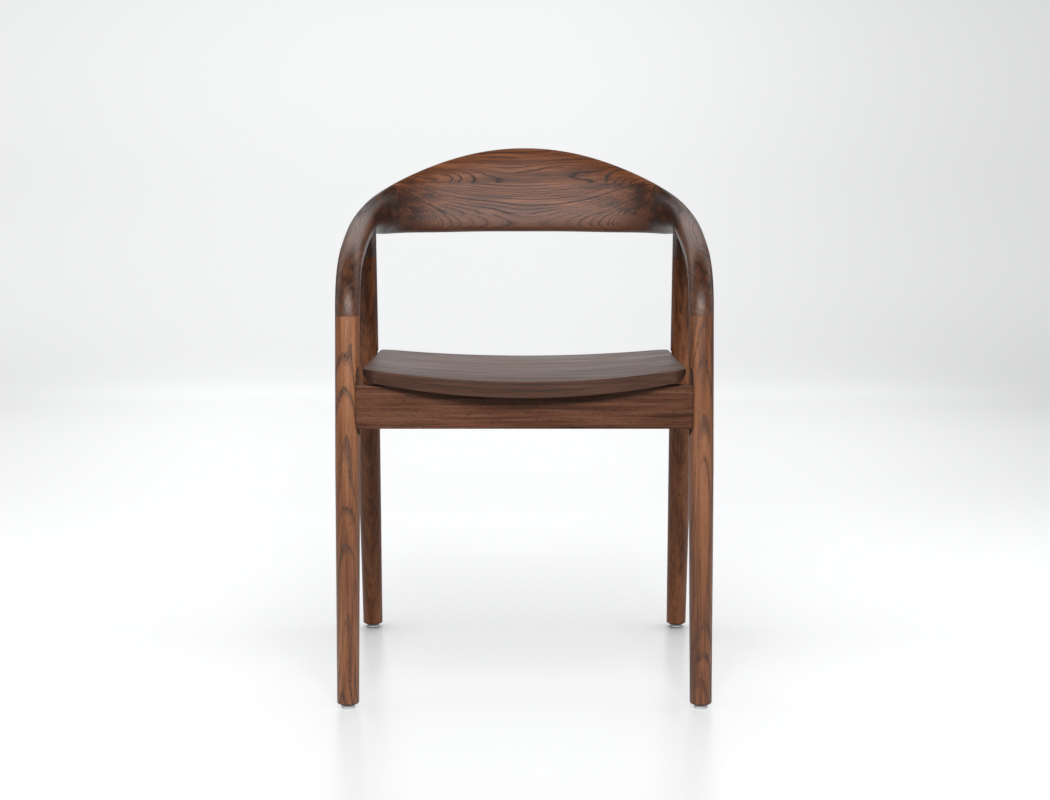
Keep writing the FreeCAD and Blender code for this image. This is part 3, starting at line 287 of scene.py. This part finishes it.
for side, sign, front_shade, rear_shade in SIDES:
    dress(f"{side}_front_leg",
          wood(f"{side}_front_leg_wood", shaded(LEG, front_shade), grain=(sign * -0.01, 0, 1),
               face=(0, -1, 0), pith=(sign * 0.247, -0.214, 0.3), seed=1.0 + sign * 0.35, ring=0.0042,
               wander=0.0095, sway=5.5, taper=-0.05, ripple=0.18, early=0.42, line=0.74, dots=0.85,
               streaks=0.95, clouds=0.60, scatter=0.24, shadows=on_side(sign, NOTCH_SHADOWS),
               roughness=0.43, level=0.62))
    dress(f"{side}_rear_leg",
          wood(f"{side}_rear_leg_wood", shaded(REAR_LEG, rear_shade), grain=(0, -0.16, 1),
               face=(sign * 0.3, -1, 0), pith=(sign * 0.256, 0.30, 0.3), seed=5.0 + sign, ring=0.0042,
               wander=0.008, sway=5.0, line=0.30, dots=0.6, streaks=0.75, clouds=0.6, level=0.25,
               shadows=on_side(sign, [REAR_LEG_SHADOW])))
    dress(f"{side}_arm",
          wood(f"{side}_arm_wood", ARM, grain=(0, 1, 0.15), face=(sign * -1, 0, 0.5),
               pith=(sign * 0.16, 0.0, 0.56), seed=9.0 + sign * 0.7, ring=0.0060, wander=0.020,
               sway=7.0, line=0.50, dots=0.60, streaks=0.80, clouds=0.18, end_dark=0.0,
               roughness=0.37, level=0.95, shadows=on_side(sign, [ELBOW_SHADOW, KNEE_SHADOW])))
    dress(f"{side}_side_rail",
          wood(f"{side}_side_rail_wood", RAIL, grain=(0, 1, -0.04), face=(sign, 0, 0),
               pith=(sign * 0.18, 0, 0.42), seed=13.0 + sign, line=0.4))

# The back boards grow darker towards both ends, where their curved faces turn across the grain.
dress("back_upper_board",
      wood("back_upper_wood", UPPER, grain=(1, 0, 0.01), face=(0, 1, 0.2), pith=(0.006, 0.150, 0.745),
           seed=21.0, ring=0.0042, wander=0.015, sway=7.0, ripple=0.30, early=0.36, line=1.00,
           dots=0.95, streaks=0.85, clouds=0.45, end_dark=0.32, level=0.80))
dress("back_middle_board",
      wood("back_middle_wood", BACK, grain=(1, 0, 0), face=(0, 1, 0.6), pith=(0, 0.118, 0.682),
           seed=27.0, ring=0.0029, wander=0.008, sway=5.0, ripple=0.35, early=0.34, line=1.00,
           dots=0.95, streaks=0.95, clouds=0.38, end_dark=0.40, level=0.90))
dress("back_lower_board",
      wood("back_lower_wood", BACK, grain=(1, 0, 0), face=(0, 1, 0), pith=(0, 0.090, 0.668),
           seed=36.5, ring=0.0018, wander=0.004, sway=4.0, ripple=0.35, line=0.85, dots=0.9,
           streaks=0.50, clouds=0.30, end_dark=0.36, level=0.90))
dress("front_rail",
      wood("front_rail_wood", RAIL, grain=(1, 0, 0), face=(0, -1, 0.3), pith=(0, -0.10, 0.40),
           seed=41.0, ring=0.0026, wander=0.005, sway=3.0, line=0.20, dots=0.55, streaks=1.1,
           streak_count=140, clouds=1.0, scatter=0.50, level=0.14))
dress("rear_rail",
      wood("rear_rail_wood", RAIL, grain=(1, 0, 0), face=(0, -1, 0.3), pith=(0, 0.30, 0.40),
           seed=45.0, line=0.4))

# The seat's boards from front to rear: how light each one is, and how strong its streaks are
SEAT_BOARDS = ((0.84, 0.35), (0.86, 0.75), (1.16, 0.75), (0.84, 0.75), (1.10, 0.75), (0.94, 0.75))
SEAT_FRONT_PITH = -0.25
SEAT_PITH_STEP = 0.075
SEAT_PITH_HEIGHT = 0.40
SEAT_PITH_DROP = 0.01
SEAT_SEED = 50.0
SEAT_SEED_STEP = 3.1

for number, (shade, streaks) in enumerate(SEAT_BOARDS, start=1):
    pith = (0, SEAT_FRONT_PITH + SEAT_PITH_STEP * number, SEAT_PITH_HEIGHT - SEAT_PITH_DROP * (number % 3))
    dress(f"seat_board_{number}",
          wood(f"seat_board_{number}_wood", shaded(SEAT, shade), grain=(1, 0, 0), face=(0, 0.3, 1),
               pith=pith, seed=SEAT_SEED + SEAT_SEED_STEP * number, ring=0.0050, wander=0.008,
               sway=3.5, line=0.80, dots=0.65, streaks=streaks, streak_count=110, clouds=0.45,
               roughness=0.42, level=0.28, polish=0.55))

bare = wood("bare_inner_wood", BARE, grain=(1, 0, 0), face=(0, 0, 1), pith=(0, 0, 0.3), seed=71.0,
            line=0.3, dots=0.4, roughness=0.6)
for node in ("left_front_corner_block", "right_front_corner_block", "left_rear_corner_block",
             "right_rear_corner_block", "rail_tenons", "side_rail_tenons", "leg_dowels", "back_dowels"):
    dress(node, bare)


# Moulded glides of pale, slightly clear plastic, and zinc plated screws and nails

PLASTIC_FINENESS = 260
PLASTIC_COLOURS = [(0.3, (0.92, 0.91, 0.90)), (0.7, (0.97, 0.97, 0.96))]
PLASTIC_ROUGHNESS = (0.3, 0.8, 0.08, 0.20)
ZINC_FINENESS = 900
ZINC_COLOURS = [(0.3, (0.50, 0.50, 0.49)), (0.7, (0.66, 0.66, 0.65))]
ZINC_ROUGHNESS = (0.3, 0.7, 0.25, 0.42)


def glide_plastic():
    shader = paint("clear_glide_plastic")
    cloudy, colour = shader.speckle(PLASTIC_FINENESS, PLASTIC_COLOURS)
    return shader.finish(Base_Color=colour, Roughness=shader.slope(cloudy, *PLASTIC_ROUGHNESS),
                         Transmission_Weight=0.06, IOR=1.49, Coat_Weight=0.6, Coat_Roughness=0.06,
                         Subsurface_Weight=0.3, Subsurface_Radius=(0.004, 0.004, 0.004),
                         Subsurface_Scale=1.0)


def zinc():
    shader = paint("zinc_plated_steel")
    spangle, colour = shader.speckle(ZINC_FINENESS, ZINC_COLOURS)
    return shader.finish(Base_Color=colour, Roughness=shader.slope(spangle, *ZINC_ROUGHNESS),
                         Metallic=1.0)


plastic = glide_plastic()
for node in ("left_front_glide", "right_front_glide", "left_rear_glide", "right_rear_glide"):
    dress(node, plastic)
steel = zinc()
for node in ("corner_block_screws", "seat_screws", "glide_nails"):
    dress(node, steel)


# Pale floor that curves up into a backdrop well behind the chair

# How bright the floor and the backdrop glow, of which 1 is about white, and slopes of painted
# light and shade that are added to it
FLOOR_GLOW = 0.61
DEPTH_SLOPES = ((-4.0, -1.2, 0.26, 0.0), (3.0, 4.9, 0.0, 0.35))
WIDTH_SLOPE = (2.6, 6.0, 0.0, 0.22)
HEIGHT_SLOPES = ((0.1, 0.7, 0.0, -0.07), (0.9, 2.4, 0.0, -0.12))
# Painted shade: the far floor is dimmer, more so towards the right and the left.
FAR_FLOOR = (0.4, 1.8)
FAR_GLOW = -0.04
FAR_RIGHT = (0.0, 2.3, 0.0, -0.23)
FAR_LEFT = (-2.3, -0.6, -0.09, 0.0)
# Painted light: brighter floor on both sides of a fan that opens towards the back from a point in front
FAN_POINT = -3.4
FAN_EDGE = (0.08, 0.25)
FAN_NEAR = (-2.6, -1.1)
FAN_FAR = (2.4, 4.9, 1.0, 0.1)
FAN_GLOW = 0.17
# Shade where the chair covers the floor: how far it is felt, and how strong it is from front to back
SHADE_REACH = 1.2
SHADE_SAMPLES = 12
SHADE_STRENGTH = (-0.15, 0.32, 0.18, 1.3)
SHADE_END = (2.0, 3.4, 1.0, 0.0)
# Mirrored in the chair, the paper is only as wide and long as a roll, with a dim room beyond.
ROLL_SIDE = (0.9, 2.0, 1.0, 0.15)
ROLL_FRONT = (-2.4, -0.8, 0.15, 1.0)
FLOOR_FINENESS = 3
FLOOR_COLOURS = [(0.3, (0.289, 0.291, 0.294)), (0.7, (0.293, 0.295, 0.298))]


def floor_paint():
    """A glow that shows nearly white, with painted light and shade in it, yet throws little light back
    onto the chair.
    """
    shader = paint("studio_floor_paint")
    place = shader.node("ShaderNodeSeparateXYZ", [shader.node("ShaderNodeTexCoord").outputs["Object"]])
    x, y, z = place.outputs
    width = shader.math("ABSOLUTE", x)
    far = shader.slope(y, *FAR_FLOOR)
    sides = shader.math("ADD", shader.slope(x, *FAR_RIGHT), shader.slope(x, *FAR_LEFT))
    glow = shader.math("MULTIPLY_ADD", sides, far, FLOOR_GLOW)
    glow = shader.math("MULTIPLY_ADD", far, FAR_GLOW, glow)
    for slope in DEPTH_SLOPES:
        glow = shader.math("ADD", glow, shader.slope(y, *slope))
    glow = shader.math("ADD", glow, shader.slope(width, *WIDTH_SLOPE))
    for slope in HEIGHT_SLOPES:
        glow = shader.math("ADD", glow, shader.slope(z, *slope))
    fan = shader.math("DIVIDE", width, shader.math("SUBTRACT", y, FAN_POINT))
    fan = shader.math("MULTIPLY", shader.slope(fan, *FAN_EDGE), shader.slope(y, *FAN_FAR))
    fan = shader.math("MULTIPLY", fan, shader.slope(y, *FAN_NEAR))
    glow = shader.math("MULTIPLY_ADD", fan, FAN_GLOW, glow)
    covered = shader.node("ShaderNodeAmbientOcclusion", {"Distance": SHADE_REACH}, samples=SHADE_SAMPLES)
    shade = shader.math("SUBTRACT", 1.0, covered.outputs["AO"])
    shade = shader.math("MULTIPLY", shade, shader.slope(y, *SHADE_STRENGTH))
    shade = shader.math("MULTIPLY", shade, shader.slope(y, *SHADE_END))
    glow = shader.math("MULTIPLY", glow, shader.math("SUBTRACT", 1.0, shade))
    roll = shader.math("MULTIPLY", shader.slope(width, *ROLL_SIDE), shader.slope(y, *ROLL_FRONT))
    looked_at, mirrored = shader.seen()
    shown = shader.math("MULTIPLY_ADD", mirrored, roll, looked_at)
    colour = shader.speckle(FLOOR_FINENESS, FLOOR_COLOURS)[1]
    return shader.finish(Base_Color=colour, Roughness=0.30, Specular_IOR_Level=0.30,
                         Emission_Color=(0.985, 0.992, 1.0, 1),
                         Emission_Strength=shader.math("MULTIPLY", glow, shown))


def backdrop():
    half_width = 9.0
    flat = (-9.0, -4.0, -1.0, 3.4)
    radius = 1.4
    height = 3.4
    steps = 24
    profile = [(y, 0.0) for y in flat]
    for step in range(1, steps + 1):
        turn = math.pi / 2 * step / steps
        profile.append((flat[-1] + radius * math.sin(turn), radius * (1 - math.cos(turn))))
    profile.append((flat[-1] + radius, height))
    points = [(x, y, z) for y, z in profile for x in (-half_width, half_width)]
    faces = [(2 * i, 2 * i + 1, 2 * i + 3, 2 * i + 2) for i in range(len(profile) - 1)]
    mesh = bpy.data.meshes.new("studio_floor")
    mesh.from_pydata(points, [], faces)
    for polygon in mesh.polygons:
        polygon.use_smooth = True
    mesh.materials.append(floor_paint())
    floor = bpy.data.objects.new("studio_floor", mesh)
    scene.collection.objects.link(floor)


backdrop()


# Light: softboxes in front, overhead, behind and on both sides that only light the chair, and a low one
# in front that shows only in its gloss, in a dim room with a pale horizon

# Name, place, what it points at, width, depth, watts, whether it is mirrored and whether it lights
CHAIR_MIDDLE = (0, 0, 0.45)
LAMPS = (
    ("front_softbox", (0.08, -2.75, 2.10), CHAIR_MIDDLE, 1.3, 0.8, 94, False, True),
    ("low_front_softbox", (0, -1.10, 0.87), (0, 0, 0.75), 1.15, 0.56, 6.8, True, False),
    ("overhead_softbox", (0, 0.3, 3.2), (0, 0.1, 0), 2.4, 1.8, 32, False, True),
    ("rear_softbox", (0.2, 2.9, 2.2), CHAIR_MIDDLE, 1.6, 1.0, 42, False, True),
    ("left_softbox", (-3.0, -0.4, 1.5), CHAIR_MIDDLE, 1.4, 1.2, 13, False, True),
    ("right_softbox", (3.0, -0.4, 1.5), CHAIR_MIDDLE, 1.4, 1.2, 13, False, True),
)
# Slopes and strengths of the room's light: by height, by depth where it is mirrored, and everywhere
HORIZON = (0.50, 0.85, 0.88, 0.0)
MIRRORED_ROOM = (-0.2, 0.5, 0.1, 1.0)
ROOM_LIGHT = 0.05
ROOM_COLOUR = (0.97, 0.985, 1.0, 1)


def softbox(name, place, target, width, depth, power, mirrored, diffuse):
    light = bpy.data.lights.new(name, "AREA")
    light.shape = "RECTANGLE"
    light.size = width
    light.size_y = depth
    light.energy = power
    lamp = bpy.data.objects.new(name, light)
    lamp.location = place
    lamp.rotation_euler = (Vector(target) - Vector(place)).to_track_quat("-Z", "Y").to_euler()
    lamp.visible_camera = False
    lamp.visible_glossy = mirrored
    lamp.visible_diffuse = diffuse
    scene.collection.objects.link(lamp)


def room():
    shader = Shader(bpy.data.worlds.new("dim_room"))
    generated = shader.node("ShaderNodeTexCoord").outputs["Generated"]
    _, depth, height = shader.node("ShaderNodeSeparateXYZ", [generated]).outputs
    looked_at, mirrored = shader.seen()
    shown = shader.math("MULTIPLY_ADD", mirrored, shader.slope(depth, *MIRRORED_ROOM), looked_at)
    pale = shader.math("MULTIPLY", shader.slope(height, *HORIZON), shown)
    ground = shader.tree.nodes["Background"].inputs
    ground["Color"].default_value = ROOM_COLOUR
    shader.put(ground["Strength"], shader.math("ADD", pale, ROOM_LIGHT))
    return shader.owner


for lamp in LAMPS:
    softbox(*lamp)
scene.world = room()


# Camera at the photograph's place, tilted down

CAMERA_PLACE = (0.0008, -3.3487, 0.8431)
CAMERA_TILT = 7.284
CAMERA_LENS = 75.91
SENSOR_WIDTH = 36
FARTHEST_SEEN = 60

camera = bpy.data.objects.new("camera", bpy.data.cameras.new("camera"))
camera.data.sensor_width = SENSOR_WIDTH
camera.data.lens = CAMERA_LENS
camera.data.clip_end = FARTHEST_SEEN
camera.location = CAMERA_PLACE
camera.rotation_euler = (math.radians(90 - CAMERA_TILT), 0, 0)
scene.collection.objects.link(camera)
scene.camera = camera

scene.view_settings.view_transform = "Standard"
